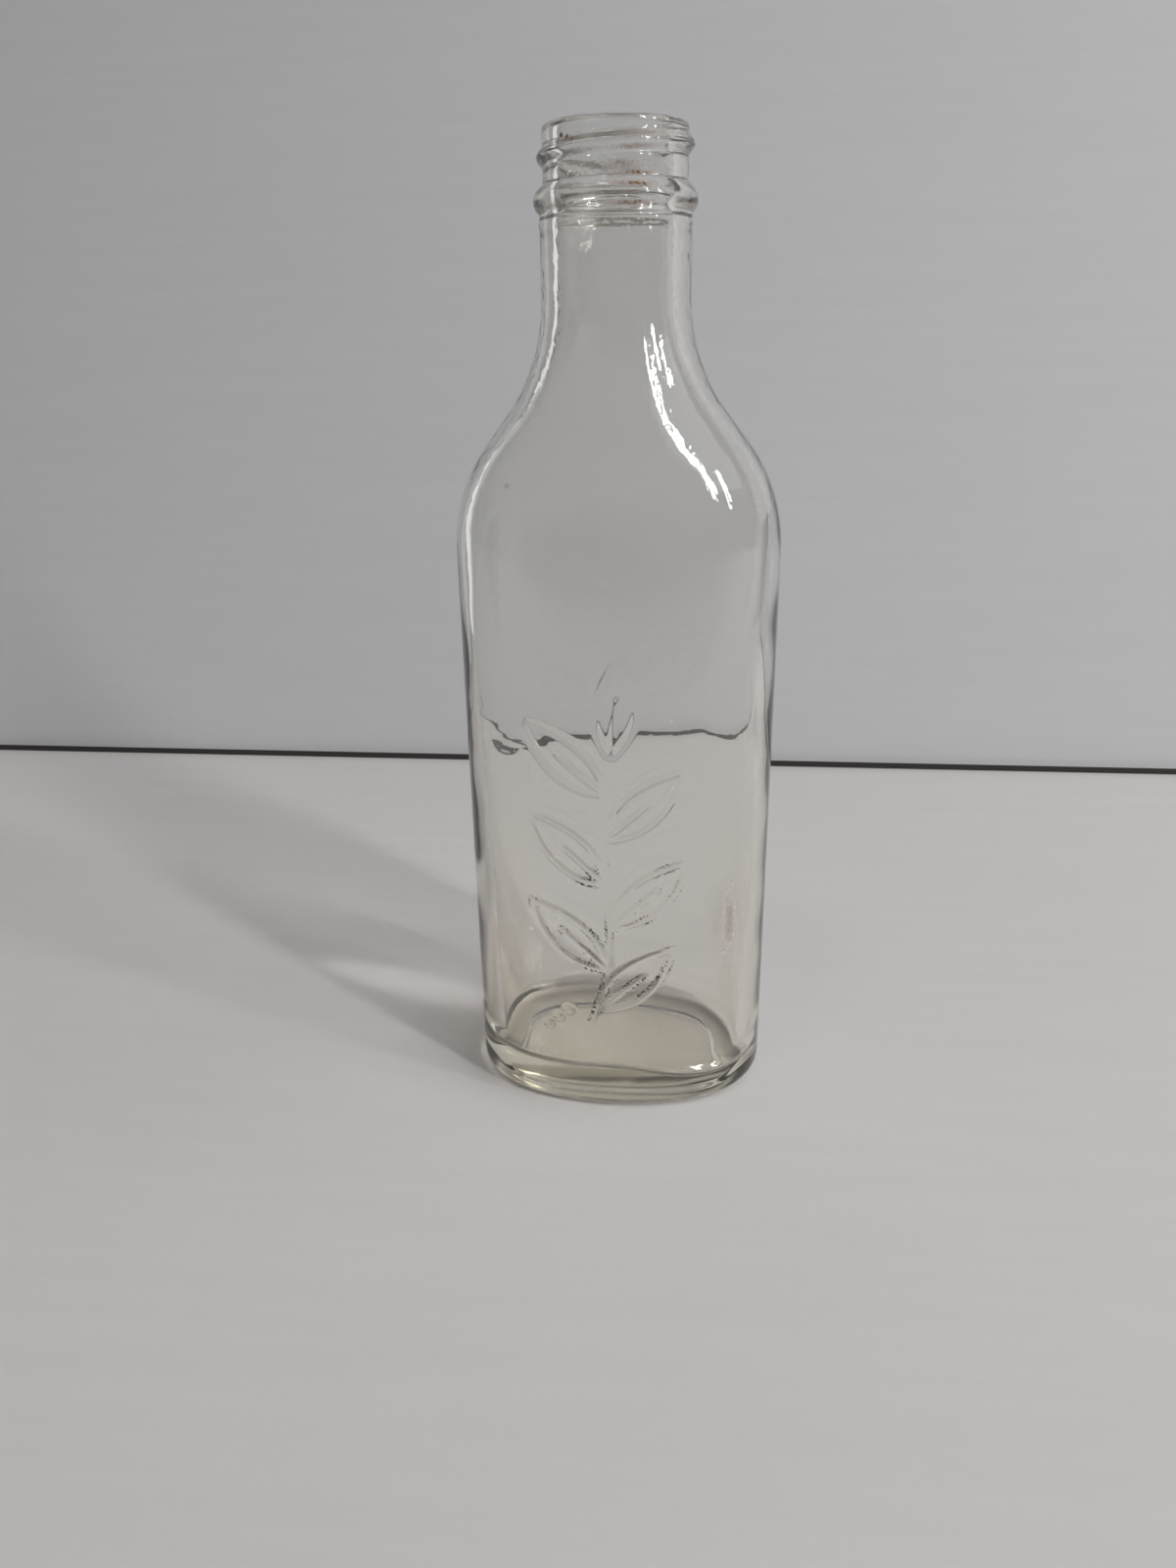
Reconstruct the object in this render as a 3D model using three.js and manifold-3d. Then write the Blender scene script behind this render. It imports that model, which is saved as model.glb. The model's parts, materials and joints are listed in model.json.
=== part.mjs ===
// Empty clear glass oil bottle with a screw neck, standing on its foot, front towards -Y, in millimetres
import * as THREE from 'three';
import { ParametricGeometry } from 'three/addons/geometries/ParametricGeometry.js';
import { mergeVertices } from 'three/addons/utils/BufferGeometryUtils.js';
import Module from 'manifold-3d';

const wasm = await Module();
wasm.setup();

// Driving dimensions
const body = { width: 62.8, depth: 44, endRadius: 19.8, wall: 2.8 };
const foot = { heel: 3, bearing: 3.5, pushUp: 1.3, domeRings: [0, 0.4, 0.75] };
const inside = { floor: 4.6, tilt: -0.05, fillet: 5 };
const shoulder = { start: 116, end: 161, round: 32, flare: 32 };
const neck = { radius: 13.5, bore: 10.2 };
const bead = { bottom: 174.2, middle: 176.2, top: 178.8, radius: 14.4 };
const finish = { radius: 12.7, bore: 9.7, top: 188, edge: 0.9 };
const thread = { radius: 13.75, ridge: 1.3, pitch: 3.6, turns: 1, front: 183.8, lowEnd: 60, runOut: 25 };
const sprig = { bottom: 20, top: 80, lean: 5, pairs: 3, firstLeaf: 0.08, lastLeaf: 0.88 };
const leaf = { length: 21, width: 7.5, angle: 48, tipAngle: 6, widest: 0.45, vein: 0.6 };
const relief = { radius: 0.75, height: 0.4, endSink: 0.2, endPower: 6 };
const berry = { radius: 1.5, height: 0.7, spread: 4.2, count: 3 };
const steps = { around: 56, arc: 5, bead: 4, lip: 2, thread: 40, ridge: 7 };
const glassColour = 0xd8dad4;

// Plan of the body: two bowed faces that run into round ends
const half = { width: body.width / 2, depth: body.depth / 2 };
const faceRadius = (half.width ** 2 - 2 * half.width * body.endRadius + half.depth ** 2)
  / (2 * (half.depth - body.endRadius));
const meetAngle = Math.atan2(faceRadius - half.depth, half.width - body.endRadius);

// Point of the plan whose outward normal lies at an angle
function planPoint(angle) {
  const normal = new THREE.Vector2(Math.cos(angle), Math.sin(angle));
  const onEnd = Math.atan2(Math.abs(normal.y), Math.abs(normal.x)) < meetAngle;
  const radius = onEnd ? body.endRadius : faceRadius;
  const centre = onEnd
    ? new THREE.Vector2(Math.sign(normal.x) * (half.width - radius), 0)
    : new THREE.Vector2(0, Math.sign(normal.y) * (half.depth - radius));
  return centre.addScaledVector(normal, radius);
}

// One ring of the wall: the plan times flask, pushed out along its normals by round
const ring = (z, round, flask = 0, tilt = 0) => ({ z, round, flask, tilt });

// Fractions from 0 to 1 along an arc
const fractions = (count) => Array.from({ length: count + 1 }, (_, i) => i / count);

// A ring between the round neck and the flask body, from its half width
function shoulderRing(z, halfWidth) {
  const flask = (halfWidth - neck.radius) / (half.width - neck.radius);
  return ring(z, (1 - flask) * neck.radius, flask);
}

// Underside: a shallow push-up inside the flat bearing ring
function underside() {
  const inset = foot.heel + foot.bearing;
  const dome = foot.domeRings.map((k) => ring(foot.pushUp * (1 - k * k), -inset * k, k));
  return [...dome, ring(0, -inset, 1)];
}

// Rounded heel from the bearing ring up to the side
function heel() {
  return fractions(steps.arc - 1).map((t) => {
    const turn = t * Math.PI / 2;
    return ring(foot.heel * (1 - Math.cos(turn)), foot.heel * (Math.sin(turn) - 1), 1);
  });
}

// Shoulder: a convex arc, a straight slope and a concave flare into the neck
function shoulderRings() {
  const rise = shoulder.end - shoulder.start;
  const radii = shoulder.round + shoulder.flare;
  const run = half.width - neck.radius - radii;
  const slope = Math.sqrt(rise ** 2 + run ** 2 - radii ** 2);
  const lean = Math.atan2(run, rise) + Math.atan2(radii, slope);
  const convex = fractions(steps.arc + 1).map((t) => shoulderRing(
    shoulder.start + shoulder.round * Math.sin(t * lean),
    half.width - shoulder.round * (1 - Math.cos(t * lean)),
  ));
  const flare = fractions(steps.arc).reverse().map((t) => shoulderRing(
    shoulder.end - shoulder.flare * Math.sin(t * lean),
    neck.radius + shoulder.flare * (1 - Math.cos(t * lean)),
  ));
  return [...convex, ...flare];
}

// Bead below the thread, a rounded ring between the neck and the narrower finish
function beadRings() {
  const swell = (t) => (1 - Math.cos(Math.PI * t)) / 2;
  const lower = fractions(steps.bead).map((t) => ring(
    THREE.MathUtils.lerp(bead.bottom, bead.middle, t),
    THREE.MathUtils.lerp(neck.radius, bead.radius, swell(t)),
  ));
  const upper = fractions(steps.bead).slice(1).map((t) => ring(
    THREE.MathUtils.lerp(bead.middle, bead.top, t),
    THREE.MathUtils.lerp(bead.radius, finish.radius, swell(t)),
  ));
  return [...lower, ...upper];
}

// Lip with both edges rounded
function lip() {
  const turned = (radius, side) => fractions(steps.lip).map((t) => {
    const turn = t * Math.PI / 2;
    const out = finish.edge * (side > 0 ? 1 - Math.cos(turn) : 1 - Math.sin(turn));
    const down = finish.edge * (side > 0 ? 1 - Math.sin(turn) : 1 - Math.cos(turn));
    return ring(finish.top - down, radius - side * out);
  });
  return [...turned(finish.radius, 1), ...turned(finish.bore, -1)];
}

// Inside wall from the neck down to the sloping floor
function insideRings(outerShoulder) {
  const neckWall = neck.radius - neck.bore;
  const down = outerShoulder.toReversed().map(({ z, round, flask }) => {
    return ring(z, round - THREE.MathUtils.lerp(neckWall, body.wall, flask), flask);
  });
  const corner = fractions(steps.arc - 1).map((t) => {
    const turn = t * Math.PI / 2;
    const z = inside.floor + inside.fillet * (1 - Math.sin(turn));
    return ring(z, -body.wall - inside.fillet * (1 - Math.cos(turn)), 1, inside.tilt);
  });
  return [ring(bead.bottom, neck.bore), ...down, ...corner, ring(inside.floor, 0)];
}

// Blown glass: one surface from under the foot, over the lip and down to the floor inside
function blownGlass() {
  const outerShoulder = shoulderRings();
  const rings = [
    ...underside(), ...heel(), ...outerShoulder, ...beadRings(), ...lip(), ...insideRings(outerShoulder),
  ];
  const surface = (u, v, target) => {
    const { z, round, flask, tilt } = rings[Math.round(v * (rings.length - 1))];
    const angle = u * 2 * Math.PI;
    const plan = planPoint(angle).multiplyScalar(flask);
    const x = plan.x + round * Math.cos(angle);
    target.set(x, plan.y + round * Math.sin(angle), z + tilt * x);
  };
  return new ParametricGeometry(surface, steps.around, rings.length - 1);
}

// Closed sweep of a round section along a path
function sweep(path, radius, count, sides) {
  const section = new THREE.Shape().absarc(0, 0, radius, 0, 2 * Math.PI);
  return new THREE.ExtrudeGeometry(section, { steps: count, extrudePath: path, curveSegments: sides / 2 });
}

// Right-hand thread ridge that sinks into the finish at both ends
function threadRidge() {
  const path = new THREE.Curve();
  const runOut = thread.runOut / (360 * thread.turns);
  path.getPoint = (t, target = new THREE.Vector3()) => {
    const angle = THREE.MathUtils.degToRad(thread.lowEnd + 360 * thread.turns * t);
    const sink = THREE.MathUtils.smoothstep(Math.abs(t - 0.5), 0.5 - runOut, 0.5);
    const radius = thread.radius - thread.ridge - sink * thread.ridge;
    const turnsFromFront = thread.lowEnd / 360 + thread.turns * t - 0.75;
    return target.set(
      radius * Math.cos(angle), radius * Math.sin(angle), thread.front + thread.pitch * turnsFromFront,
    );
  };
  return sweep(path, thread.ridge, steps.thread, 10);
}

// Point on the bowed front, sunk below the glass by a depth
function frontPoint(x, z, depth) {
  const y = faceRadius - half.depth - Math.sqrt((faceRadius - depth) ** 2 - x ** 2);
  return new THREE.Vector3(x, y, z);
}

// Raised line on the front that fades out at both ends
function ridge(line) {
  const points = line.getPoints(steps.ridge).map((point, i) => {
    const fade = Math.abs(2 * i / steps.ridge - 1) ** relief.endPower;
    const lift = THREE.MathUtils.lerp(relief.height, -relief.endSink, fade);
    return frontPoint(point.x, point.y, relief.radius - lift);
  });
  return sweep(new THREE.CatmullRomCurve3(points), relief.radius, steps.ridge, 6);
}

// Outline and mid vein of one leaf
function leafLines(base, degrees) {
  const angle = THREE.MathUtils.degToRad(degrees);
  const along = new THREE.Vector2(Math.sin(angle), Math.cos(angle));
  const across = new THREE.Vector2(along.y, -along.x);
  const at = (length, width) => base.clone().addScaledVector(along, length).addScaledVector(across, width);
  const edges = [-leaf.width, leaf.width].map((width) => {
    return new THREE.QuadraticBezierCurve(base, at(leaf.widest * leaf.length, width), at(leaf.length, 0));
  });
  return [...edges, new THREE.LineCurve(base, at(leaf.vein * leaf.length, 0))];
}

// Embossed sprig: a stem, leaves in pairs and one at the tip
function sprigLines() {
  const { bottom, top, lean } = sprig;
  const third = (top - bottom) / 3;
  const stem = new THREE.CubicBezierCurve(
    new THREE.Vector2(-lean, bottom), new THREE.Vector2(lean, bottom + third),
    new THREE.Vector2(-lean, top - third), new THREE.Vector2(0, top),
  );
  const leaves = fractions(2 * sprig.pairs - 1).flatMap((t, i) => {
    const side = i % 2 === 0 ? 1 : -1;
    const base = stem.getPoint(THREE.MathUtils.lerp(sprig.firstLeaf, sprig.lastLeaf, t));
    return leafLines(base, side * leaf.angle);
  });
  return [stem, ...leaves, ...leafLines(new THREE.Vector2(0, top), leaf.tipAngle)];
}

// Berries beside the foot of the stem
function berries() {
  return fractions(berry.count - 1).map((t) => {
    const ball = new THREE.IcosahedronGeometry(berry.radius, 1);
    const x = -sprig.lean - berry.spread * (1 + t);
    const point = frontPoint(x, sprig.bottom + berry.spread * (1 - t), berry.radius - berry.height);
    return ball.translate(point.x, point.y, point.z);
  });
}

// Closed three.js geometry as a solid that can be joined
function solid(geometry) {
  geometry.deleteAttribute('normal');
  geometry.deleteAttribute('uv');
  const { index, attributes } = mergeVertices(geometry);
  const corners = [];
  for (let i = 0; i < index.count; i += 3) {
    const [a, b, c] = [index.getX(i), index.getX(i + 1), index.getX(i + 2)];
    if (a !== b && b !== c && c !== a) corners.push(a, b, c);
  }
  return new wasm.Manifold(new wasm.Mesh({
    numProp: 3, vertProperties: attributes.position.array, triVerts: new Uint32Array(corners),
  }));
}

// Glass with the thread and the embossing fused on
function fusedGlass() {
  const raised = [threadRidge(), ...sprigLines().map(ridge), ...berries()];
  const whole = raised.reduce((glass, piece) => glass.add(solid(piece)), solid(blownGlass()));
  const { vertProperties, triVerts } = whole.getMesh();
  const geometry = new THREE.BufferGeometry();
  geometry.setAttribute('position', new THREE.BufferAttribute(vertProperties, 3));
  geometry.setIndex(new THREE.BufferAttribute(triVerts, 1));
  geometry.computeVertexNormals();
  return geometry;
}

const bottle = new THREE.Mesh(
  fusedGlass(), new THREE.MeshStandardMaterial({ color: glassColour, roughness: 0.06, metalness: 0 }),
);
bottle.name = 'bottle';

const group = new THREE.Group();
group.add(bottle);

export default group;
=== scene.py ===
import json
import math

import bmesh
import bpy
from mathutils import Matrix, Vector
from mathutils.geometry import interpolate_bezier
from mathutils.kdtree import KDTree
from mathutils.noise import noise

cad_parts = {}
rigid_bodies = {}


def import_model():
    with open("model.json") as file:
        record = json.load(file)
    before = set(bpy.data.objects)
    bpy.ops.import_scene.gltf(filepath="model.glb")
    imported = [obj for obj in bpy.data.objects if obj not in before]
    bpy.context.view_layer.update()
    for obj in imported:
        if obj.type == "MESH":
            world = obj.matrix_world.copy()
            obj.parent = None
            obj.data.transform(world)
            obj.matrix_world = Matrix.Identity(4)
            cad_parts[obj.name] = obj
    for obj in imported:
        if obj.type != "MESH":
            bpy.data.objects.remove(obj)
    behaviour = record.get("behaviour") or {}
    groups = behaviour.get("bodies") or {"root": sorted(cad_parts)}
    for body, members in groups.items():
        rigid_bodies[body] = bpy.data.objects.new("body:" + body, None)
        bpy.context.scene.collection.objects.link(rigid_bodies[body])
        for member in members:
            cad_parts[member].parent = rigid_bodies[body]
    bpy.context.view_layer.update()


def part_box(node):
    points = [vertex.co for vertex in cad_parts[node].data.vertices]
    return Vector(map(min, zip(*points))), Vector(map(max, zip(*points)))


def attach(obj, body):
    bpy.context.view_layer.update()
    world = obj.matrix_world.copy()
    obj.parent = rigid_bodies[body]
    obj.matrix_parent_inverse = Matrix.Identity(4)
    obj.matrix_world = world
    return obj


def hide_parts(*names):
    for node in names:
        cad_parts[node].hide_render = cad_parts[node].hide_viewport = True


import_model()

low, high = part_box("bottle")  # the foot's centre is the origin, +Z runs up the neck
mm = 0.001
tiny = 0.01 * mm
bpy.ops.object.select_all(action="DESELECT")


def linear(hexColour):
    # sRGB hex to the linear values that Blender works in
    parts = [int(hexColour[i:i + 2], 16) / 255 for i in (1, 3, 5)]
    return [p / 12.92 if p < 0.04045 else ((p + 0.055) / 1.055) ** 2.4 for p in parts] + [1]


def addNode(tree, kind, settings={}, links={}):
    # settings are the node's own properties, links feed its sockets with a value or another node's output
    node = tree.nodes.new(kind)
    for name, value in settings.items():
        setattr(node, name, value)
    for name, value in links.items():
        if isinstance(value, bpy.types.NodeSocket):
            tree.links.new(value, node.inputs[name])
        else:
            node.inputs[name].default_value = value
    return node


def newMaterial(name):
    material = bpy.data.materials.new(name)
    material.use_nodes = True
    material.node_tree.nodes.clear()
    return material, material.node_tree


def meshInEdit():
    return bmesh.from_edit_mesh(bpy.context.object.data)


def pick(kind, test):
    # in edit mode, selects the points, edges or faces that the test takes
    bpy.ops.mesh.select_mode(type=kind)
    bpy.ops.mesh.select_all(action="DESELECT")
    mesh = meshInEdit()
    for part in {"VERT": mesh.verts, "EDGE": mesh.edges, "FACE": mesh.faces}[kind]:
        if test(part):
            part.select_set(True)
    mesh.select_flush_mode()
    bmesh.update_edit_mesh(bpy.context.object.data)


def clamp(value):
    return max(0, min(1, value))


# The glass shell: an outer and an inner skin raised ring by ring from the oval plan, joined at the lip
shell = {
    "halfWidth": high[0], "halfDepth": high[1], "top": high[2],
    "endRadius": 19.8 * mm,  # the ends are tight arcs, the faces shallow ones
    "endSteps": 50, "faceSteps": 40,
    "shoulderStart": 116 * mm, "shoulderEnd": 161 * mm, "shoulderRound": 32 * mm,
    "arcSteps": 14, "slopeSteps": 4, "rounder": 0.12,
    "neckRadius": 13.5 * mm, "neckBore": 10.2 * mm,
    "bandFoot": 14 * mm, "bandTop": 104 * mm,  # the even part of the wall, which carries the sprig
}
heel = {
    "round": 3 * mm, "bearing": 6 * mm, "step": 2 * mm, "recess": 1 * mm, "pushUp": 1.3 * mm,
    "steps": 6, "domeSteps": 6, "panelPower": 3.2,  # 2 is an oval, higher is squarer
}
inside = {
    "wallTop": 2.3 * mm, "wallFoot": 4.6 * mm, "thickens": 112 * mm, "wallSteps": 40,
    "floor": 5.6 * mm, "dip": 1.7 * mm, "dipPlace": 10 * mm, "dipRun": 8 * mm, "dipTop": 30 * mm,
    "fillet": (6 * mm, 3.5 * mm, 3.3 * mm),  # at the ends, at the faces, upwards
    "planPower": 2.45, "floorPower": 3, "steps": 10, "floorSteps": 6,
    "lowest": 3.2 * mm, "floorTilt": 8 * mm,  # tell the inner skin from the outer
}
waves = {
    "height": 0.42 * mm, "length": 70 * mm, "middle": 70 * mm, "grow": 20 * mm,
    "stillEnds": 5 * mm, "calmEnds": 9 * mm, "fine": 0.08 * mm, "fineLength": 12 * mm, "fineEnds": 2,
    "from": 20 * mm, "fromRun": 20 * mm, "toRun": 40 * mm,
}
lip = {"radius": 12.7 * mm, "bore": 9.7 * mm, "edge": 0.9 * mm, "fall": 0.15 * mm, "steps": 5}
bead = {"bottom": 174.2 * mm, "top": 178.9 * mm, "radius": 14.4 * mm, "steps": 12, "fullness": 0.7}
rows = {"foot": 7, "band": 99, "overBand": 5, "neck": 6, "finish": 27}  # cuts across each band
finer = {"cuts": 2, "facing": -0.9}  # the face that carries the sprig
ringLine = {"height": 172.4 * mm, "width": 0.5 * mm, "proud": 0.12 * mm}  # where the neck mould parts


def planArcs():
    # right end, back face, left end and front face: centre, sweep and steps
    a, b, r = shell["halfWidth"], shell["halfDepth"], shell["endRadius"]
    faceRadius = (a * a - 2 * a * r + b * b) / (2 * (b - r))
    endX, faceY = a - r, faceRadius - b
    meet = math.atan2(faceY, endX)
    return faceRadius, [
        ((endX, 0), 2 * meet, shell["endSteps"]), ((0, -faceY), math.pi - 2 * meet, shell["faceSteps"]),
        ((-endX, 0), 2 * meet, shell["endSteps"]), ((0, faceY), math.pi - 2 * meet, shell["faceSteps"])]


def drawPlan(inset, z):
    # one point spun round the four arcs and closed
    arcs = planArcs()[1]
    endX, endSweep = arcs[0][0][0], arcs[0][1]
    r = shell["endRadius"] - inset
    bpy.ops.mesh.select_all(action="DESELECT")
    bpy.ops.mesh.primitive_plane_add(
        size=mm, location=(endX + r * math.cos(endSweep / 2), -r * math.sin(endSweep / 2), z))
    bpy.ops.mesh.merge(type="CENTER")
    for centre, sweep, steps in arcs:
        bpy.ops.mesh.spin(steps=steps, angle=sweep, center=(*centre, z), axis=(0, 0, -1))
    bpy.ops.mesh.select_linked()
    bpy.ops.mesh.remove_doubles(threshold=tiny)


def ringSize():
    points = [v.co for v in meshInEdit().verts if v.select]
    return max(p.x for p in points), max(p.y for p in points), points[0].z


def raiseRing(z, halfWidth, halfDepth, rounder=0):
    # a new ring at height z with its own half width and half depth
    before = ringSize()[2]
    bpy.ops.mesh.extrude_region_move(TRANSFORM_OT_translate={"value": (0, 0, z - before)})
    if rounder:
        bpy.ops.transform.tosphere(value=rounder)
    x, y, z = ringSize()
    bpy.ops.transform.resize(value=(halfWidth / x, halfDepth / y, 1), center_override=(0, 0, z))


def squareRing(power):
    # pushes the new ring's corners out, from an oval towards a rectangle
    x, y, z = ringSize()
    for v in meshInEdit().verts:
        if v.select:
            reach = (abs(v.co.x / x) ** power + abs(v.co.y / y) ** power) ** (1 / power)
            v.co.x, v.co.y = v.co.x / reach, v.co.y / reach
    bmesh.update_edit_mesh(bpy.context.object.data)


def closeRing():
    bpy.ops.mesh.extrude_region_move()
    bpy.ops.mesh.merge(type="CENTER")


def shoulderProfile():
    # heights and half widths along a convex arc, a slope and a concave arc
    a, n, r = shell["halfWidth"], shell["neckRadius"], shell["shoulderRound"]
    start, end, steps = shell["shoulderStart"], shell["shoulderEnd"], shell["arcSteps"]
    rise, reach = end - start, 2 * r - (a - n)
    slope = math.atan2(rise, reach) - math.acos(2 * r / math.hypot(rise, reach))
    turns = [slope * i / steps for i in range(1, steps + 1)]
    convex = [(start + r * math.sin(t), a - r * (1 - math.cos(t))) for t in turns]
    concave = [(end - r * math.sin(t), n + r * (1 - math.cos(t))) for t in turns]
    shares = [i / shell["slopeSteps"] for i in range(1, shell["slopeSteps"])]
    straight = [[p + (q - p) * share for p, q in zip(convex[-1], concave[-1])] for share in shares]
    return convex + straight + concave[::-1] + [(end, n)]


def raiseShoulder(inset, bore):
    # the oval narrows to the round neck, a little rounder with each ring
    a, b, n = shell["halfWidth"], shell["halfDepth"], shell["neckRadius"]
    for z, outer in shoulderProfile():
        flask = (outer - n) / (a - n)
        rounder = 1 if flask < tiny else (1 - flask) * shell["rounder"]
        raiseRing(z, bore + flask * (a - inset - bore), bore + flask * (b - inset - bore), rounder)


def wallAt(z):
    # the wall thickens towards the foot, where the glass ran last
    share = clamp(1 - z / inside["thickens"])
    return inside["wallTop"] + (inside["wallFoot"] - inside["wallTop"]) * share


bpy.ops.mesh.primitive_plane_add(size=mm)
bottle = bpy.context.object
bottle.name = bottle.data.name = "glassBottle"
bpy.ops.object.mode_set(mode="EDIT")
bpy.ops.mesh.delete(type="VERT")

# outer skin, from the heel to the lip
a, b, top = shell["halfWidth"], shell["halfDepth"], shell["top"]
drawPlan(0, heel["round"])
for z in (shell["bandFoot"], shell["bandTop"], shell["shoulderStart"]):
    raiseRing(z, a, b)
raiseShoulder(0, shell["neckRadius"])
neck = shell["neckRadius"]
for step, out in ((-1, 0), (0, ringLine["proud"]), (1, 0)):
    raiseRing(ringLine["height"] + step * ringLine["width"], neck + out, neck + out)
for i in range(bead["steps"] + 1):
    share = i / bead["steps"]
    base = neck + (lip["radius"] - neck) * share
    swell = (bead["radius"] - (neck + lip["radius"]) / 2) * math.sin(math.pi * share) ** bead["fullness"]
    raiseRing(bead["bottom"] + (bead["top"] - bead["bottom"]) * share, base + swell, base + swell)
for i in range(lip["steps"] + 1):
    turn = math.pi / 2 * i / lip["steps"]
    across = lip["radius"] - lip["edge"] * (1 - math.cos(turn))
    raiseRing(top - lip["edge"] * (1 - math.sin(turn)), across, across)

# underside: heel, bearing ring and push-up
pick("VERT", lambda v: abs(v.co.z - heel["round"]) < tiny)
for i in range(1, heel["steps"] + 1):
    turn = math.pi / 2 * i / heel["steps"]
    cut = heel["round"] * (1 - math.cos(turn))
    raiseRing(heel["round"] * (1 - math.sin(turn)), a - cut, b - cut)
cut = heel["round"] + heel["bearing"]
raiseRing(0, a - cut, b - cut)
squareRing(heel["panelPower"])
for i in range(1, heel["steps"] + 1):
    share = i / heel["steps"]
    z = heel["recess"] * share * share * (3 - 2 * share)
    raiseRing(z, a - cut - heel["step"] * share, b - cut - heel["step"] * share)
cut += heel["step"]
for i in range(1, heel["domeSteps"]):
    share = i / heel["domeSteps"]
    z = heel["recess"] + (heel["pushUp"] - heel["recess"]) * math.sin(math.pi / 2 * share)
    raiseRing(z, (a - cut) * (1 - share), (b - cut) * (1 - share))
closeRing()
print("outer skin raised,", len(meshInEdit().verts), "points")

# inner skin, from the fillet at the floor up to the bore and down to the middle of the floor
endFillet, faceFillet, filletRise = inside["fillet"]
start = inside["floor"] + filletRise
wall = wallAt(start)
drawPlan(wall, start)
for i in range(1, inside["wallSteps"] + 1):
    z = start + (shell["shoulderStart"] - start) * i / inside["wallSteps"]
    raiseRing(z, a - wallAt(z), b - wallAt(z))
raiseShoulder(inside["wallTop"], shell["neckBore"])
raiseRing(bead["top"], shell["neckBore"], shell["neckBore"])
for i in range(lip["steps"] + 1):
    turn = math.pi / 2 * i / lip["steps"]
    across = lip["bore"] + lip["edge"] * (1 - math.cos(turn))
    raiseRing(top - lip["fall"] - lip["edge"] * (1 - math.sin(turn)), across, across)
pick("VERT", lambda v: v.is_boundary and v.co.z > bead["top"])
bpy.ops.mesh.bridge_edge_loops()
pick("VERT", lambda v: abs(v.co.z - start) < tiny and abs(v.co.y) < b and v.is_boundary)
for i in range(1, inside["steps"] + 1):
    turn = math.pi / 2 * i / inside["steps"]
    floorWidth = a - wall - endFillet * (1 - math.cos(turn))
    floorDepth = b - wall - faceFillet * (1 - math.cos(turn))
    raiseRing(inside["floor"] + filletRise * (1 - math.sin(turn)), floorWidth, floorDepth)
    squareRing(inside["planPower"] + (inside["floorPower"] - inside["planPower"]) * i / inside["steps"])
for i in range(1, inside["floorSteps"]):
    share = 1 - i / inside["floorSteps"]
    raiseRing(inside["floor"], floorWidth * share, floorDepth * share)
closeRing()
bpy.ops.mesh.select_all(action="SELECT")
bpy.ops.mesh.normals_make_consistent(inside=False)
print("inner skin raised,", len(meshInEdit().verts), "points")


def innerSkin(mesh):
    # the points that face the hollow
    def inHollow(v):
        outwards = Vector((v.co.x, v.co.y * a / b, -inside["floorTilt"]))
        return inside["lowest"] < v.co.z < bead["bottom"] and v.normal.dot(outwards) < 0
    return [v for v in mesh.verts if inHollow(v)]


def cutBand(bottom, height, cuts):
    # splits a tall band of the outer skin into even rows
    def upright(edge):
        ends = sorted(v.co.z for v in edge.verts)
        return abs(ends[0] - bottom) < tiny and abs(ends[1] - height) < tiny
    pick("EDGE", upright)
    bpy.ops.mesh.subdivide(number_cuts=cuts)


cutBand(heel["round"], shell["bandFoot"], rows["foot"])
cutBand(shell["bandFoot"], shell["bandTop"], rows["band"])
cutBand(shell["bandTop"], shell["shoulderStart"], rows["overBand"])
cutBand(shell["shoulderEnd"], ringLine["height"] - ringLine["width"], rows["neck"])
cutBand(bead["top"], top - lip["edge"], rows["finish"])

# the face that carries the sprig is split finer and set back on its arc
faceRadius, arcs = planArcs()
faceEdge = faceRadius * math.sin(arcs[1][1] / 2)


def onSprigFace(face):
    middle = face.calc_center_median()
    return (face.normal.y < finer["facing"] and abs(middle.x) < faceEdge and middle.y < wallAt(0) - b
            and shell["bandFoot"] < middle.z < shell["bandTop"])


pick("FACE", onSprigFace)
bpy.ops.mesh.subdivide(number_cuts=finer["cuts"])
print("face split,", len(meshInEdit().verts), "points")

# The raised sprig: a wavy stem with leaves left and right, and berries at its foot
sprig = {"bottom": 20, "top": 80, "lean": 5, "pairs": 3, "firstLeaf": 0.08, "lastLeaf": 0.88}
leaf = {"length": 21, "width": 7.5, "angle": 48, "tipAngle": 6, "widest": 0.45, "vein": 0.6}
ridge = {"halfWidth": 0.9 * mm, "height": 0.4 * mm, "endPower": 6, "spacing": 0.12, "depth": 6.3 * mm,
         "facing": -0.8}
berry = {"radius": 1.5 * mm, "height": 0.7 * mm, "spread": 4.2, "count": 3}


def sprigLines():
    # each line is a cubic curve over the face, as points (x, z) in mm
    s, l = sprig, leaf
    height = s["top"] - s["bottom"]
    stem = [Vector((-s["lean"], s["bottom"])), Vector((s["lean"], s["bottom"] + height / 3)),
            Vector((-s["lean"], s["bottom"] + height * 2 / 3)), Vector((0, s["top"]))]
    lines = [stem]

    def addLeaf(base, angle):
        along = Vector((math.sin(angle), math.cos(angle)))
        across = Vector((along.y, -along.x))
        tip = base + along * l["length"]
        for side in (1, -1):
            control = base + along * l["length"] * l["widest"] + across * l["width"] * side
            lines.append([base, base.lerp(control, 2 / 3), tip.lerp(control, 2 / 3), tip])
        lines.append([base.lerp(tip, l["vein"] * i / 3) for i in range(4)])

    count = s["pairs"] * 2
    for i in range(count):
        t = s["firstLeaf"] + (s["lastLeaf"] - s["firstLeaf"]) * i / (count - 1)
        weights = ((1 - t) ** 3, 3 * t * (1 - t) ** 2, 3 * t * t * (1 - t), t ** 3)
        base = sum((p * w for p, w in zip(stem, weights)), Vector((0, 0)))
        addLeaf(base, math.radians(l["angle"]) * (1 if i % 2 == 0 else -1))
    addLeaf(stem[3], math.radians(l["tipAngle"]))
    return lines


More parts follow.
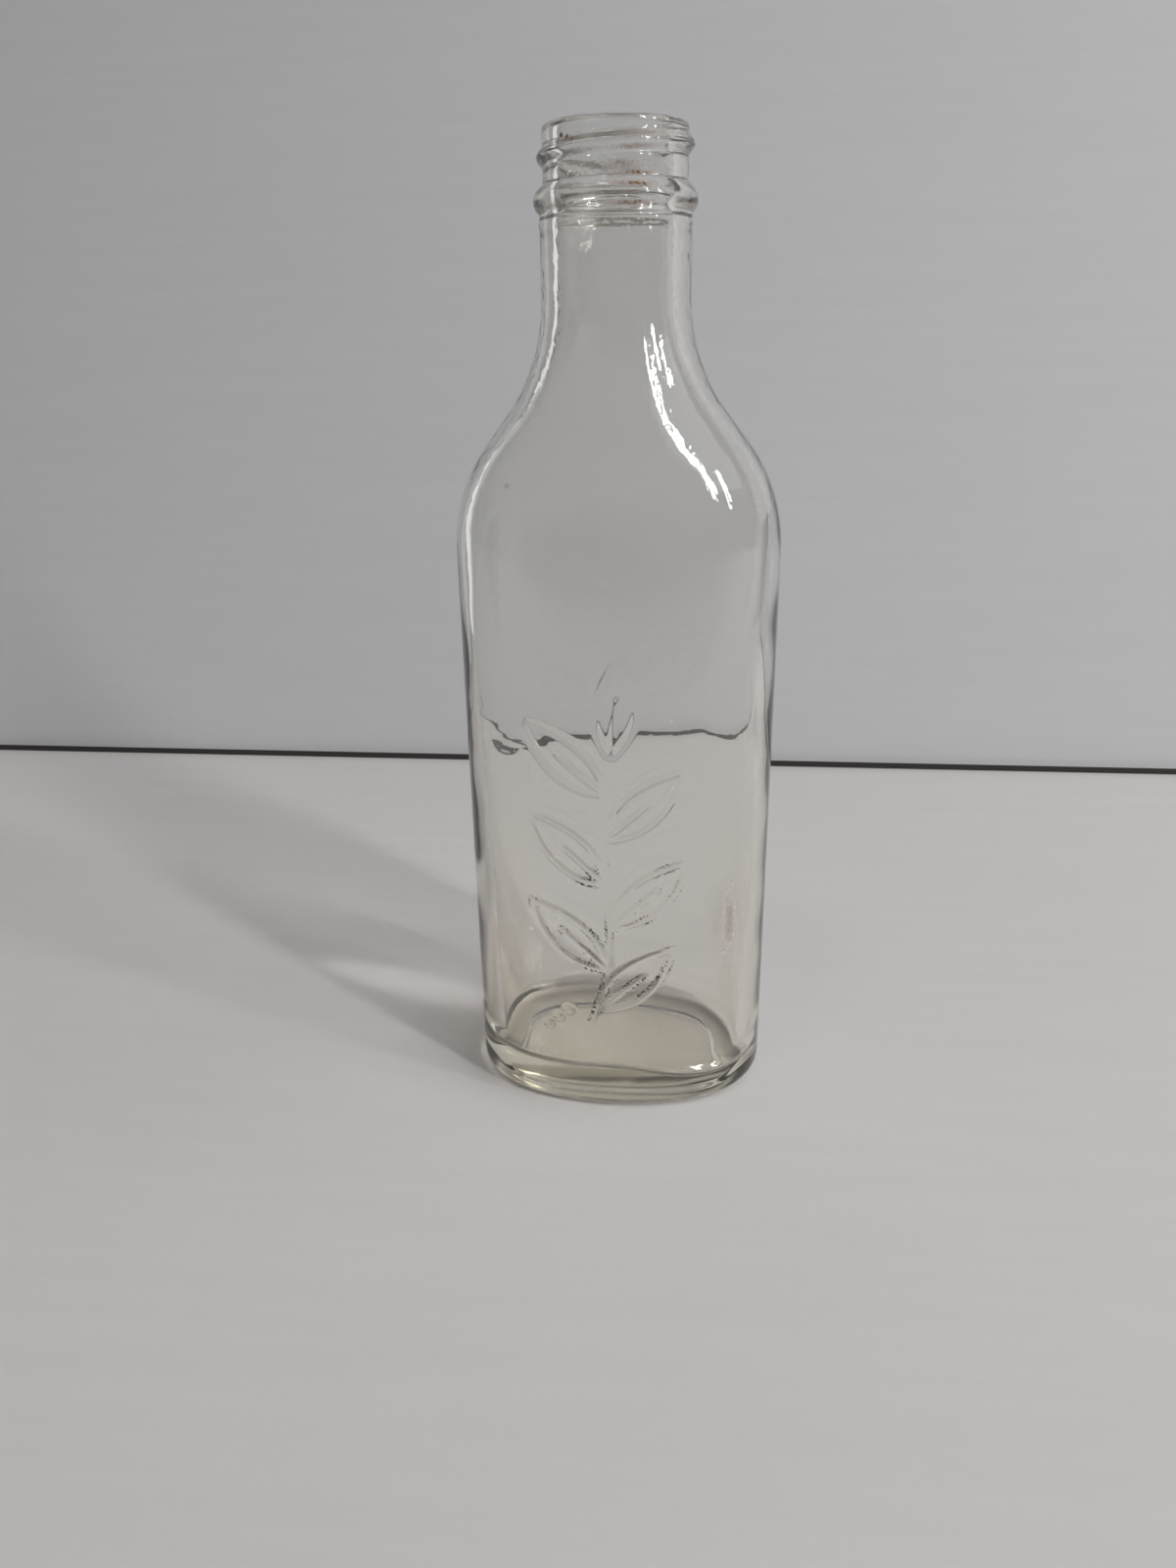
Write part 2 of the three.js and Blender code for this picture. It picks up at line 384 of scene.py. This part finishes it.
def sprigSamples():
    samples = []
    for line in sprigLines():
        length = sum((line[i + 1] - line[i]).length for i in range(3))
        count = int(length / ridge["spacing"])
        knots = [Vector((p.x, p.y, 0)) for p in line]
        for i, point in enumerate(interpolate_bezier(*knots, count)):
            fade = 1 - abs(2 * i / (count - 1) - 1) ** ridge["endPower"]
            samples.append((point * mm, fade))
    return samples


samples = sprigSamples()
lineTree = KDTree(len(samples))
for i, (point, fade) in enumerate(samples):
    lineTree.insert(point, i)
lineTree.balance()
berries = []
for i in range(berry["count"]):
    t = i / (berry["count"] - 1)
    out, up = berry["spread"] * (1 + t), berry["spread"] * (1 - t)
    berries.append(Vector((-sprig["lean"] - out, sprig["bottom"] + up, 0)) * mm)


def bump(distance, halfWidth):
    # a ridge's rounded section, with soft feet
    share = min(1, distance / halfWidth)
    return (1 - share * share) ** 2


def reliefAt(x, z):
    place = Vector((x, z, 0))
    heights = [ridge["height"] * samples[i][1] * bump(d, ridge["halfWidth"])
               for point, i, d in lineTree.find_range(place, ridge["halfWidth"])]
    heights += [berry["height"] * bump((place - middle).length, berry["radius"]) for middle in berries]
    return max(heights)


# a patch on the left where the glass cooled uneven, which smears what shows through it
smear = {"place": (-20, 83), "size": (9, 6), "height": 0.12 * mm, "streak": (9, 3), "bottom": 60 * mm,
         "fine": 0.3, "fineRate": 3}


def smearAt(x, z):
    apart = [(p / mm - middle) / size for p, middle, size in zip((x, z), smear["place"], smear["size"])]
    place = Vector((x / mm / smear["streak"][0], 0, z / mm / smear["streak"][1]))
    streak = noise(place) + smear["fine"] * noise(place * smear["fineRate"])
    return smear["height"] * streak * math.exp(-apart[0] ** 2 - apart[1] ** 2)


# The screw thread: one right-hand turn round the finish
thread = {"proud": 1.05 * mm, "halfWidth": 1.8 * mm, "pitch": 3.6 * mm, "front": 183.8 * mm,
          "lowEnd": 60, "runOut": 25}


def threadAt(x, y, z):
    # angles run from the low end, the way that the thread climbs
    proud = 0
    angle = (math.degrees(math.atan2(y, x)) - thread["lowEnd"]) % 360
    for turn in (angle - 360, angle, angle + 360):
        frontAngle = 270 - thread["lowEnd"]
        height = thread["front"] + thread["pitch"] * (turn - frontAngle) / 360
        fade = clamp(min(turn, 360 - turn) / thread["runOut"])
        proud = max(proud, fade * fade * (3 - 2 * fade) * bump(abs(z - height), thread["halfWidth"]))
    return proud * thread["proud"]


mesh = meshInEdit()
for v in mesh.verts:
    x, y, z = v.co
    inBand = shell["bandFoot"] < z < shell["bandTop"]
    if inBand and abs(x) < faceEdge and y < ridge["depth"] - b and v.normal.y < ridge["facing"]:
        v.co.y = faceRadius - b - math.sqrt(faceRadius ** 2 - x * x) - reliefAt(x, z) - smearAt(x, z)
    elif inBand and z > smear["bottom"] and y < 0 and x < -faceEdge and v.normal.x < 0:
        v.co += v.normal * smearAt(x, z)
    elif bead["top"] < z < top - lip["edge"] and math.hypot(x, y) > lip["radius"] - tiny:
        out = 1 + threadAt(x, y, z) / lip["radius"]
        v.co.x, v.co.y = x * out, y * out
bmesh.update_edit_mesh(bottle.data)

# the inner skin is uneven: the floor drops to the right, and the wall ripples where the glass ran
for v in innerSkin(mesh):
    x, y, z = v.co
    dip = -inside["dip"] * math.tanh((x - inside["dipPlace"]) / inside["dipRun"])
    v.co.z += dip * clamp((inside["dipTop"] - z) / (inside["dipTop"] - start))
    turn = 2 * math.pi * (z - waves["middle"]) / waves["length"]
    run = -waves["height"] * (1 + x / waves["grow"]) * math.sin(turn)
    run *= clamp((a - abs(x) - waves["stillEnds"]) / waves["calmEnds"])
    run += waves["fine"] * (1 + waves["fineEnds"] * abs(x) / a) * noise(v.co / waves["fineLength"])
    calm = clamp(min((z - waves["from"]) / waves["fromRun"], (shell["shoulderEnd"] - z) / waves["toRun"]))
    v.co += Vector((v.normal.x, v.normal.y, 0)) * run * calm  # thicker glass stands further in
bmesh.update_edit_mesh(bottle.data)
bpy.ops.object.mode_set(mode="OBJECT")
bpy.ops.object.shade_smooth()
print("relief and thread shaped")

# Dirt and wear, as one value per point for the glass to read
dirt = {
    "lineFoot": 0.75 * mm, "lineSpread": 0.4 * mm, "lineTop": 78 * mm, "lineShare": 0.25,
    "faceDepth": 3 * mm,
    "grooves": (bead["bottom"] + 0.6 * mm, 177.6 * mm, bead["top"] + 0.4 * mm), "grooveSpread": 0.5 * mm,
    "grooveShare": 0.6, "threadShare": 0.8, "finishFoot": 170 * mm, "finishInside": 11 * mm,
    "patch": 7 * mm,
    "bodyGrain": 0.08, "finishGrain": 0.6, "grainRise": 20 * mm,
    "bodyFilm": 0.012, "finishFilm": 0.035, "wearTop": 2.2 * mm,
}
stains = [  # place on the front, half width, half height and strength
    ((23.6, 43), (1.3, 9.5), 0.75), ((2.5, 180.6), (4.2, 0.9), 0.75), ((1.5, 178.5), (2.6, 0.5), 0.5)]
marks = [  # brown marks: place, radius and strength, mm
    ((-18.5, -16.2, 129.9), 0.7, 0.35), ((-8.3, -9.8, 185.3), 0.55, 1), ((-7.3, -10.8, 185.0), 0.6, 1),
    ((-6.2, -11.9, 184.5), 0.5, 0.9), ((2.6, -12.6, 185.1), 0.4, 0.7), ((3.6, -12.6, 185.1), 0.4, 0.7)]

# where thick glass looks straw: all round the foot, and up the ends; the left end gets twice the right's
# share, a painted warm glow where light comes through the foot
straw = {"foot": 0.5, "footTop": 14 * mm, "footFade": 6 * mm, "endFrom": 18 * mm, "endRun": 8 * mm,
         "endTop": 62 * mm, "endFade": 40 * mm, "left": 1, "right": 0.5}


def gauss(value, spread):
    return math.exp(-(value / spread) ** 2)


def strawAndGlowAt(x, z):
    foot = straw["foot"] * clamp((straw["footTop"] - z) / straw["footFade"])
    end = clamp((abs(x) - straw["endFrom"]) / straw["endRun"])
    end *= clamp((straw["endTop"] - z) / straw["endFade"])
    return max(foot, end * straw["left" if x < 0 else "right"])


def markGlass(mesh):
    residue, stain, wear, grain, film, tone = [], [], [], [], [], []
    for v in mesh.vertices:
        x, y, z = v.co
        patch = noise(v.co / dirt["patch"])
        dark = brown = 0
        inBand = shell["bandFoot"] < z < shell["bandTop"]
        if inBand and abs(x) < faceEdge and y < dirt["faceDepth"] - b:
            distance = lineTree.find((x, z, 0))[2]
            dark = gauss(distance - dirt["lineFoot"], dirt["lineSpread"])
            dark *= max(0, patch + dirt["lineShare"])
            dark *= max(0, 1 - (z / dirt["lineTop"]) ** 2)
        if z > dirt["finishFoot"] and math.hypot(x, y) > dirt["finishInside"]:
            groove = max(gauss(z - height, dirt["grooveSpread"]) for height in dirt["grooves"])
            edge = threadAt(x, y, z) / thread["proud"]
            groove = max(groove, 4 * edge * (1 - edge) * dirt["threadShare"])
            brown = groove * max(0, dirt["grooveShare"] + patch)
        if y < 0 and v.normal.y < 0:
            for (placeX, placeZ), (halfWidth, halfHeight), strength in stains:
                apart = math.hypot((x / mm - placeX) / halfWidth, (z / mm - placeZ) / halfHeight)
                brown = max(brown, strength * gauss(apart, 1))
        residue.append(dark)
        stain.append(brown)
        wear.append(max(0, -v.normal.z) if z < dirt["wearTop"] else 0)
        outer = v.normal.x * x + v.normal.y * y > 0
        onFinish = z > ringLine["height"]
        rippled = min(1, max(dirt["bodyGrain"], (z - shell["shoulderStart"]) / dirt["grainRise"]))
        rippled = dirt["finishGrain"] if onFinish else rippled
        grain.append(rippled if outer else 0)
        film.append(dirt["finishFilm"] if onFinish else dirt["bodyFilm"])
        tone.append(strawAndGlowAt(x, z))
    layers = {"residue": residue, "stain": stain, "wear": wear, "grain": grain, "film": film, "straw": tone}
    for name, values in layers.items():
        mesh.attributes.new(name, "FLOAT", "POINT").data.foreach_set("value", values)


markGlass(bottle.data)
print("dirt marked")

# Soda-lime glass, machine blown: clear in the wall, straw where it is thick, with a painted warm glow at
# the left end, gently rippled all over, with a faint film, dark residue at the feet of the raised lines and
# brown stains round the finish
glass = {
    "colour": "#fcfcfb", "residueColour": "#33272a", "stainColour": "#7b5a36", "strawColour": "#fdfaf3",
    "ior": 1.52, "tint": (0.94, 0.87, 0.62, 1), "tintDensity": 18.0,
    "speck": 0.5 * mm, "ripple": 2.2 * mm, "rippleDepth": 0.1 * mm,
    "wornRoughness": 0.12, "rippleRoughness": 0.04,
    "dots": (0.5, 0.58), "lines": (0.15, 0.35), "stains": (0.08, 0.5), "markCore": 0.4,
}


def sodaLimeGlass():
    material, tree = newMaterial("soda-lime glass, machine blown")
    place = addNode(tree, "ShaderNodeTexCoord").outputs["Object"]
    residue = addNode(tree, "ShaderNodeAttribute", {"attribute_name": "residue"}).outputs["Fac"]
    stain = addNode(tree, "ShaderNodeAttribute", {"attribute_name": "stain"}).outputs["Fac"]
    wear = addNode(tree, "ShaderNodeAttribute", {"attribute_name": "wear"}).outputs["Fac"]
    grain = addNode(tree, "ShaderNodeAttribute", {"attribute_name": "grain"}).outputs["Fac"]
    film = addNode(tree, "ShaderNodeAttribute", {"attribute_name": "film"}).outputs["Fac"]
    # straw tint of thick glass, partly painted light: stronger at the left end for the glow of light
    # through the foot
    strawAndGlow = addNode(tree, "ShaderNodeAttribute", {"attribute_name": "straw"}).outputs["Fac"]
    specks = addNode(tree, "ShaderNodeTexNoise", {}, {
        "Vector": place, "Scale": 1 / glass["speck"], "Detail": 2.0, "Roughness": 0.6}).outputs["Fac"]
    ripples = addNode(tree, "ShaderNodeTexNoise", {}, {
        "Vector": place, "Scale": 1 / glass["ripple"], "Detail": 2.0, "Roughness": 0.5}).outputs["Fac"]
    normal = addNode(tree, "ShaderNodeBump", {}, {
        "Strength": grain, "Height": ripples, "Distance": glass["rippleDepth"]}).outputs["Normal"]
    # residue shows where a speck meets a marked line, stains thin out between the specks
    dots = addNode(tree, "ShaderNodeMapRange", {"interpolation_type": "SMOOTHSTEP"}, {
        "Value": specks, "From Min": glass["dots"][0], "From Max": glass["dots"][1]}).outputs["Result"]
    marked = addNode(tree, "ShaderNodeMapRange", {}, {
        "Value": residue, "From Min": glass["lines"][0], "From Max": glass["lines"][1]}).outputs["Result"]
    dark = addNode(tree, "ShaderNodeMath", {"operation": "MULTIPLY"}, {0: dots, 1: marked}).outputs[0]
    thinned = addNode(tree, "ShaderNodeMath", {"operation": "MULTIPLY"}, {0: stain, 1: specks}).outputs[0]
    brown = addNode(tree, "ShaderNodeMapRange", {}, {
        "Value": thinned, "From Min": glass["stains"][0], "From Max": glass["stains"][1]}).outputs["Result"]
    for middle, radius, strength in marks:
        apart = addNode(tree, "ShaderNodeVectorMath", {"operation": "DISTANCE"}, {
            0: place, 1: Vector(middle) * mm}).outputs["Value"]
        mark = addNode(tree, "ShaderNodeMapRange", {"interpolation_type": "SMOOTHSTEP"}, {
            "Value": apart, "From Min": radius * mm, "From Max": glass["markCore"] * radius * mm,
            "To Max": strength}).outputs["Result"]
        brown = addNode(tree, "ShaderNodeMath", {"operation": "MAXIMUM"}, {0: brown, 1: mark}).outputs[0]
    soiled = addNode(tree, "ShaderNodeMath", {"operation": "MAXIMUM"}, {0: dark, 1: brown}).outputs[0]
    veiled = addNode(tree, "ShaderNodeMath", {"operation": "MAXIMUM"}, {0: soiled, 1: film}).outputs[0]
    clear = addNode(tree, "ShaderNodeMath", {"operation": "SUBTRACT"}, {0: 1.0, 1: veiled}).outputs[0]
    clean = addNode(tree, "ShaderNodeMix", {"data_type": "RGBA"}, {
        0: strawAndGlow, 6: linear(glass["colour"]), 7: linear(glass["strawColour"])}).outputs[2]
    stained = addNode(tree, "ShaderNodeMix", {"data_type": "RGBA"}, {
        0: soiled, 6: clean, 7: linear(glass["stainColour"])}).outputs[2]
    colour = addNode(tree, "ShaderNodeMix", {"data_type": "RGBA"}, {
        0: dark, 6: stained, 7: linear(glass["residueColour"])}).outputs[2]
    dull = addNode(tree, "ShaderNodeMath", {"operation": "MAXIMUM"}, {0: wear, 1: soiled}).outputs[0]
    worn = addNode(tree, "ShaderNodeMath", {"operation": "MULTIPLY"}, {
        0: dull, 1: glass["wornRoughness"]}).outputs[0]
    rough = addNode(tree, "ShaderNodeMath", {"operation": "MULTIPLY_ADD"}, {
        0: grain, 1: glass["rippleRoughness"], 2: worn}).outputs[0]
    shader = addNode(tree, "ShaderNodeBsdfPrincipled", {}, {
        "Base Color": colour, "Roughness": rough, "IOR": glass["ior"],
        "Transmission Weight": clear, "Normal": normal})
    volume = addNode(tree, "ShaderNodeVolumeAbsorption", {}, {
        "Color": glass["tint"], "Density": glass["tintDensity"]})
    addNode(tree, "ShaderNodeOutputMaterial", {}, {
        "Surface": shader.outputs["BSDF"], "Volume": volume.outputs["Volume"]})
    return material


bottle.data.materials.append(sodaLimeGlass())
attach(bottle, "root")
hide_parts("bottle")

# Stage: pale paper floor and wall, with a dark card in the gap between them as painted shadow
stage = {
    "floorSize": 3.0, "floorBack": 186 * mm, "wallHeight": 1.6, "wallLean": 30, "gapAndShadowStrip": 2.3 * mm,
    "shadowStripHalfWidth": 1.4, "under": 0.05 * mm, "shadeFrom": -0.26, "shadeTo": -0.6,
    "ribs": 6 * mm, "ribStretch": 0.08, "ribTones": (0.97, 1.03),
}


def paper(name, colour, farColour):
    # card with faint ribs across, darker where it runs out of the light towards the room
    material, tree = newMaterial(name)
    place = addNode(tree, "ShaderNodeTexCoord").outputs["Object"]
    stretched = addNode(tree, "ShaderNodeMapping", {}, {
        "Vector": place, "Scale": (stage["ribStretch"], 1, 1)}).outputs["Vector"]
    tone = addNode(tree, "ShaderNodeTexNoise", {}, {
        "Vector": stretched, "Scale": 1 / stage["ribs"], "Detail": 3.0}).outputs["Fac"]
    shade = addNode(tree, "ShaderNodeMapRange", {}, {
        "Value": tone, "To Min": stage["ribTones"][0], "To Max": stage["ribTones"][1]}).outputs["Result"]
    along = addNode(tree, "ShaderNodeSeparateXYZ", {}, {"Vector": place}).outputs["Y"]
    near = addNode(tree, "ShaderNodeMapRange", {"interpolation_type": "SMOOTHSTEP"}, {
        "Value": along, "From Min": stage["shadeFrom"], "From Max": stage["shadeTo"]}).outputs["Result"]
    base = addNode(tree, "ShaderNodeMix", {"data_type": "RGBA"}, {
        0: near, 6: linear(colour), 7: linear(farColour)}).outputs[2]
    final = addNode(tree, "ShaderNodeMix", {"data_type": "RGBA", "blend_type": "MULTIPLY"}, {
        0: 1.0, 6: base, 7: shade}).outputs[2]
    shader = addNode(tree, "ShaderNodeBsdfPrincipled", {}, {"Base Color": final, "Roughness": 0.9})
    addNode(tree, "ShaderNodeOutputMaterial", {}, {"Surface": shader.outputs["BSDF"]})
    return material


def sheet(name, corners, material):
    mesh = bpy.data.meshes.new(name)
    mesh.from_pydata(corners, [], [(0, 1, 2, 3)])
    piece = bpy.data.objects.new(name, mesh)
    bpy.context.collection.objects.link(piece)
    piece.data.materials.append(material)
    return piece


half, back, under = stage["floorSize"] / 2, stage["floorBack"], -stage["under"]
shadowStripHalf, shadowStripTop = stage["shadowStripHalfWidth"], stage["gapAndShadowStrip"]
wallFoot, wallTop = back + stage["gapAndShadowStrip"], stage["wallHeight"]
lean = wallFoot + wallTop * math.tan(math.radians(stage["wallLean"]))
rightFoot, leftFoot = (half, wallFoot, under), (-half, wallFoot, under)
sheet("floor", [(-half, -half, under), (half, -half, under), rightFoot, leftFoot],
      paper("matt card, pale", "#e6e3e2", "#8b8987"))
sheet("wall", [leftFoot, rightFoot, (half, lean, wallTop), (-half, lean, wallTop)],
      paper("matt card, pale grey", "#cfcfd1", "#cfcfd1"))
# painted shadow: a dark card for the shade in the fold between floor and wall
shaded = paper("dark card, painted shadow", "#3c3a38", "#3c3a38")
grey = paper("grey card", "#7c7a78", "#7c7a78")
# painted shadow: a dark strip stands in the gap, where the fold between floor and wall lies in shade
sheet("gapAndShadowStrip", [(-shadowStripHalf, back, 0), (shadowStripHalf, back, 0), (shadowStripHalf, back, shadowStripTop), (-shadowStripHalf, back, shadowStripTop)],
      shaded)


def around(side, away, height):
    # a place around the bottle, by its angle from the front towards +X
    turn = math.radians(side)
    return Vector((math.sin(turn) * away, -math.cos(turn) * away, height))


# a grey card out of the picture, which only the glass sees and which draws its edges
flag = {"side": (104, 134), "away": 0.4, "height": 0.14}
flagLeft, flagRight = (around(side, flag["away"], 0) for side in flag["side"])
flagRise = Vector((0, 0, flag["height"]))
card = sheet("flag", [flagLeft, flagRight, flagRight + flagRise, flagLeft + flagRise], grey)
card.visible_camera = card.visible_diffuse = card.visible_shadow = False

# Light and camera
light = {
    "aim": 0.1,  # height that the soft boxes point at
    "windows": (  # side, rise, away, width, height and power
        (52, 31.5, 1.8, 0.1, 0.82, 8), (69, 23, 1.8, 0.11, 0.5, 4.5), (-28, 68, 1.5, 0.25, 0.14, 0.9)),
    "edge": (-122, 8, 0.34, 0.07, 0.5, 0.06),
    "ceiling": (1.2, -0.3, 1.35), "ceilingSize": 1.6, "ceilingPower": 10.8,
    "room": (1.0, -2.0, 0.9), "roomWidth": 3.0, "roomHeight": 1.8, "roomPower": 2, "sky": 0.12,
}


def softBox(name, place, width, height, power):
    bpy.ops.object.light_add(type="AREA", location=place)
    lamp = bpy.context.object
    lamp.name = lamp.data.name = name
    lamp.data.shape = "RECTANGLE"
    lamp.data.size, lamp.data.size_y = width, height
    lamp.data.energy = power
    lamp.rotation_euler = (Vector((0, 0, light["aim"])) - Vector(place)).to_track_quat("-Z", "Y").to_euler()
    return lamp


def lampAround(name, side, up, away, width, height, power):
    up = math.radians(up)
    place = around(side, away * math.cos(up), light["aim"] + away * math.sin(up))
    return softBox(name, place, width, height, power)


for i, values in enumerate(light["windows"]):
    lampAround(f"windowLight{i}", *values)
edgeLight = lampAround("edgeLight", *light["edge"])
edgeLight.visible_diffuse = False  # draws the bright line down the left edge and leaves the floor alone

# a narrow streak on the floor, in place of the light that the glass gathers in its own shadow
core = {"place": (-57 * mm, 24.5 * mm), "from": (-0.93, 0.303, 0.208), "away": 0.3, "cone": 3,
        "power": 2.8, "soft": 1 * mm}
way = Vector(core["from"])
bpy.ops.object.light_add(type="SPOT", location=Vector((*core["place"], 0)) + way * core["away"])
spot = bpy.context.object
spot.name = spot.data.name = "coreLight"
spot.data.energy = core["power"]
spot.data.spot_size = math.radians(core["cone"])
spot.data.spot_blend = 1
spot.data.shadow_soft_size = core["soft"]
spot.rotation_euler = (-way).to_track_quat("-Z", "Y").to_euler()
spot.visible_camera = spot.visible_glossy = spot.visible_transmission = False

# the room's own light, which the glass doesn't mirror
fill = softBox("roomLight", light["room"], light["roomWidth"], light["roomHeight"], light["roomPower"])
ceiling = light["ceilingSize"]
overhead = softBox("ceilingLight", light["ceiling"], ceiling, ceiling, light["ceilingPower"])
fill.visible_glossy = overhead.visible_glossy = False  # they fill the shadows and leave the shoulders clear
world = bpy.data.worlds.new("studio")
world.use_nodes = True
world.node_tree.nodes["Background"].inputs["Color"].default_value = (1, 1, 1, 1)
world.node_tree.nodes["Background"].inputs["Strength"].default_value = light["sky"]
bpy.context.scene.world = world
bpy.context.scene.view_settings.view_transform = "Standard"
cycles = bpy.context.scene.cycles  # the floor under the foot gets all its light through the glass
cycles.blur_glossy = cycles.sample_clamp_indirect = 0
cycles.max_bounces = cycles.transmission_bounces = 32

view = {
    "place": (16.83 * mm, -220.24 * mm, 155.57 * mm),
    "down": 21.954, "turn": 6.067, "roll": -0.962,  # degrees
    "focal": 1150.7, "photoHeight": 1600, "sensor": 36, "clip": 5 * mm,
}
bpy.ops.object.camera_add()
camera = bpy.context.object
camera.data.sensor_width = view["sensor"]
camera.data.lens = view["focal"] * view["sensor"] / view["photoHeight"]
camera.data.clip_start = view["clip"]
turned = Matrix.Rotation(math.radians(view["turn"]), 4, "Z")
tilted = Matrix.Rotation(math.radians(90 - view["down"]), 4, "X")
rolled = Matrix.Rotation(math.radians(view["roll"]), 4, "Z")
camera.matrix_world = Matrix.Translation(view["place"]) @ turned @ tilted @ rolled
bpy.context.scene.camera = camera
print("stage, light and camera set")
